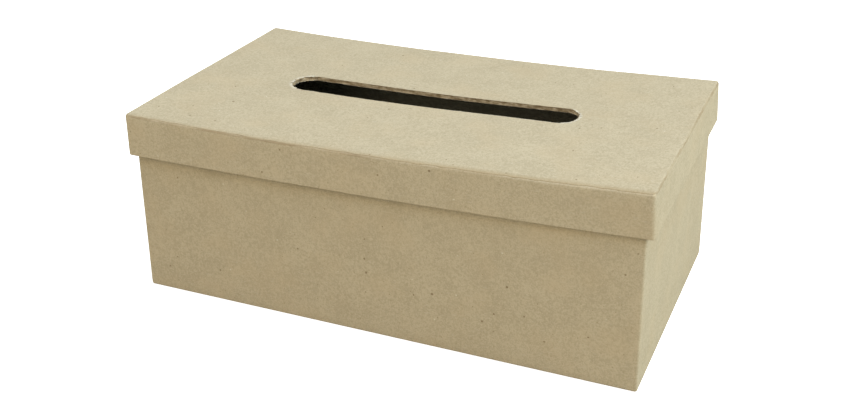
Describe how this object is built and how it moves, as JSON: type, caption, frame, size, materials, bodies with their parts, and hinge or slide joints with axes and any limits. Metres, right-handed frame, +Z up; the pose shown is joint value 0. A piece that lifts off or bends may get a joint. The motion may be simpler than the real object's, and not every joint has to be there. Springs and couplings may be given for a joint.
{
  "type": "tissue box",
  "caption": "Rigid paper-covered tissue box: a deep rectangular tray under a shallow lift-off lid with a long round-ended slot in its top, bare brown kraft finish.",
  "frame": {"origin": "on the surface the box stands on, under the middle of the tray", "axes": "+X along the box towards the end where the lid sits higher, -Y towards the front, +Z up"},
  "size_m": [0.2624, 0.1436, 0.1006],
  "materials": {
    "cover_paper": "matte",
    "board": "matte",
    "lining_paper": "matte",
    "stay_paper": "matte"
  },
  "bodies": {
    "tray": {"tray_board": "board", "tray_wrap": "cover_paper", "tray_base_sheet": "cover_paper", "tray_stay_front_left": "stay_paper", "tray_stay_front_right": "stay_paper", "tray_stay_back_left": "stay_paper", "tray_stay_back_right": "stay_paper"},
    "lid": {"lid_board": "board", "lid_wrap": "cover_paper", "lid_top_sheet": "cover_paper", "lid_lining": "lining_paper", "lid_stay_front_left": "stay_paper", "lid_stay_front_right": "stay_paper", "lid_stay_back_left": "stay_paper", "lid_stay_back_right": "stay_paper"}
  },
  "joints": [
    {"name": "lid_lift", "type": "slide", "parent": "tray", "child": "lid", "axis": [0, 0, 1], "range_m": [0, 0.1]}
  ]
}
